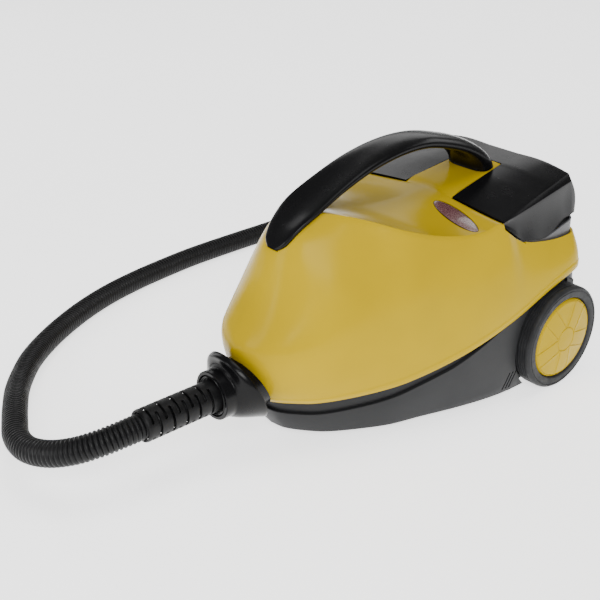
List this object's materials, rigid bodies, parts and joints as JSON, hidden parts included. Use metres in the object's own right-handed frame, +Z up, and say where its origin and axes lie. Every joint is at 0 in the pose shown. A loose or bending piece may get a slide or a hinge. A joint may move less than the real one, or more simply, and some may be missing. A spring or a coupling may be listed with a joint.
{
  "type": "canister steam cleaner",
  "caption": "Canister steam cleaner with a domed shell over a grey base, a bow handle, a rear filler lid, big rear wheels, a front caster and a corrugated hose with a steam gun.",
  "frame": {"origin": "on the floor under the middle of the machine's own bounding box, the free hose, its coil and the gun left out", "axes": "+Z up; the machine's plane of symmetry is X = 0; -Y is the nose, where the hose leaves, and +Y the rear with the big wheels; +X is the side with the indicator lens"},
  "size_m": [0.493, 0.7792, 0.2523],
  "materials": {
    "yellow_plastic": "gloss moulded",
    "black_plastic": "gloss moulded",
    "grey_plastic": "fine textured",
    "light_grey_plastic": "satin",
    "white_plastic": "satin",
    "hose_rubber": "matt",
    "tyre_rubber": "matt",
    "steel": "satin",
    "brass": "turned",
    "red_lens": "gloss, brushed under the surface"
  },
  "bodies": {
    "machine": {"axle_clip_left": "steel", "axle_clip_right": "steel", "base_screw_1": "steel", "base_screw_2": "steel", "base_screw_3": "steel", "base_screw_4": "steel", "base_shell": "grey_plastic", "boiler_bracket_left": "steel", "boiler_bracket_right": "steel", "boiler_left": "steel", "boiler_right": "steel", "cable_gland": "hose_rubber", "filler_neck": "brass", "filler_well": "light_grey_plastic", "gun_hose_sleeve": "hose_rubber", "gun_nozzle": "grey_plastic", "gun_shell_left": "black_plastic", "gun_shell_right": "black_plastic", "gun_trigger_pin": "steel", "gun_tube": "brass", "handle": "black_plastic", "handle_screw": "steel", "heating_element": "steel", "hose_connector": "brass", "indicator_board": "white_plastic", "indicator_lens": "red_lens", "lid_hinge_pin_left": "steel", "lid_hinge_pin_right": "steel", "outlet_flange": "black_plastic", "pressure_switch": "white_plastic", "rear_axle": "steel", "safety_valve": "brass", "socket_ring": "black_plastic", "solenoid_valve": "black_plastic", "steam_hose": "hose_rubber", "steam_hose_coil": "hose_rubber", "steam_hose_tail": "hose_rubber", "steam_pipe_front": "steel", "steam_pipe_rear": "steel", "strain_relief": "hose_rubber", "switch_body": "black_plastic", "terminal_block": "white_plastic", "thermal_fuse": "steel", "thermostat": "white_plastic", "upper_shell": "yellow_plastic", "valve_bracket": "steel"},
    "wheel_left": {"tyre_left": "tyre_rubber", "wheel_disc_left": "yellow_plastic"},
    "wheel_right": {"tyre_right": "tyre_rubber", "wheel_disc_right": "yellow_plastic"},
    "caster_swivel": {"caster_fork": "black_plastic", "caster_clip": "steel", "caster_pin": "steel"},
    "caster_roller": {"caster_wheel": "grey_plastic"},
    "lid": {"rear_lid": "black_plastic"},
    "cap_seal": {"filler_cap_seal": "hose_rubber"},
    "cap": {"filler_cap": "black_plastic"},
    "rocker": {"power_rocker": "black_plastic"},
    "trigger": {"gun_trigger": "grey_plastic"},
    "lock": {"gun_lock": "grey_plastic"}
  },
  "joints": [
    {"name": "wheel_left_spin", "type": "hinge", "parent": "machine", "child": "wheel_left", "pos_m": [-0.1122, 0.1415, 0.053], "axis": [1, 0, 0], "continuous": true},
    {"name": "wheel_right_spin", "type": "hinge", "parent": "machine", "child": "wheel_right", "pos_m": [0.1122, 0.1415, 0.053], "axis": [1, 0, 0], "continuous": true},
    {"name": "caster_swivel_turn", "type": "hinge", "parent": "machine", "child": "caster_swivel", "pos_m": [0, -0.084, 0.03], "axis": [0, 0, 1], "continuous": true},
    {"name": "caster_roll", "type": "hinge", "parent": "caster_swivel", "child": "caster_roller", "pos_m": [0, -0.076, 0.011], "axis": [1, 0, 0], "continuous": true},
    {"name": "lid_hinge", "type": "hinge", "parent": "machine", "child": "lid", "pos_m": [0, 0.187, 0.1585], "axis": [-1, 0, 0], "range_deg": [0, 95]},
    {"name": "cap_rise", "type": "slide", "parent": "machine", "child": "cap_seal", "axis": [0, 0, 1], "range_m": [0, 0.0045]},
    {"name": "cap_turn", "type": "hinge", "parent": "cap_seal", "child": "cap", "pos_m": [-0.058, 0.092, 0.17], "axis": [0, 0, 1], "range_deg": [0, 540]},
    {"name": "rocker_tilt", "type": "hinge", "parent": "machine", "child": "rocker", "pos_m": [0, 0.186, 0.072], "axis": [1, 0, 0], "range_deg": [0, 16]},
    {"name": "trigger_squeeze", "type": "hinge", "parent": "machine", "child": "trigger", "pos_m": [-0.17654, 0.0237, 0.0184], "axis": [0, 0, -1], "range_deg": [0, 10], "stiffness_Nm_per_rad": 0.3, "springref_deg": -11.46},
    {"name": "lock_slide", "type": "slide", "parent": "machine", "child": "lock", "axis": [-0.1702, -0.9854, 0], "range_m": [0, 0.005]}
  ],
  "couplings": [
    {"joint": "cap_rise", "follows": "cap_turn", "m_per_rad": 0.00047746}
  ]
}
